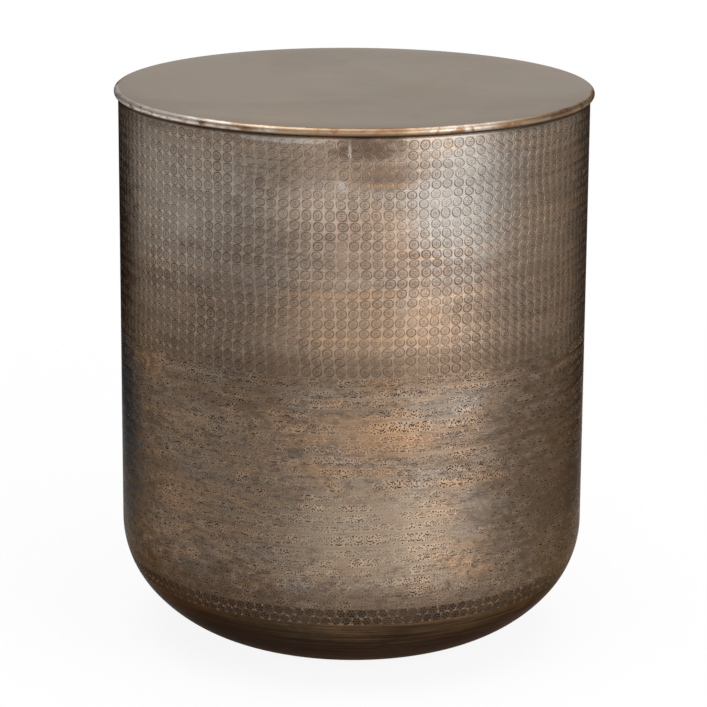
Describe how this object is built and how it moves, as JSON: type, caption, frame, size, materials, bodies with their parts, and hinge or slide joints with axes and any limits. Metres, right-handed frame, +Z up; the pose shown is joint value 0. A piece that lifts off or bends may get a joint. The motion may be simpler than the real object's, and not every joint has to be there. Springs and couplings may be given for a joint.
{
  "type": "drum side table",
  "caption": "Round sheet-metal drum side table: flat loose lid with a rolled rim on a hollow punched drum whose base turns under softly, to set things on and store things in.",
  "frame": {"origin": "on the floor under the middle of the drum", "axes": "+Z up along the drum's axis, -Y towards the front with the wall's upright seam, +X to the right seen from the front"},
  "size_m": [0.4, 0.4, 0.47],
  "materials": {
    "lid_bronze": "satin antique bronze, gold worn through on the rolled rim",
    "drum_bronze": "antique bronze, punched, dark in the marks and streaked round the drum",
    "plain_steel": "dull mill finish",
    "foot_rubber": "matt moulded rubber"
  },
  "bodies": {
    "drum": {"upper_wall": "drum_bronze", "mouth_wire": "plain_steel", "seam_strip": "plain_steel", "lower_bowl": "drum_bronze", "rubber_foot_1": "foot_rubber", "rubber_foot_2": "foot_rubber", "rubber_foot_3": "foot_rubber", "rubber_foot_4": "foot_rubber"},
    "lid": {"lid_sheet": "lid_bronze", "rim_wire": "plain_steel", "locating_ring": "plain_steel", "brace_bar_long": "plain_steel", "brace_bar_cross": "plain_steel"}
  },
  "joints": [
    {"name": "lid_lift", "type": "slide", "parent": "drum", "child": "lid", "axis": [0, 0, 1], "range_m": [0, 0.12]}
  ]
}
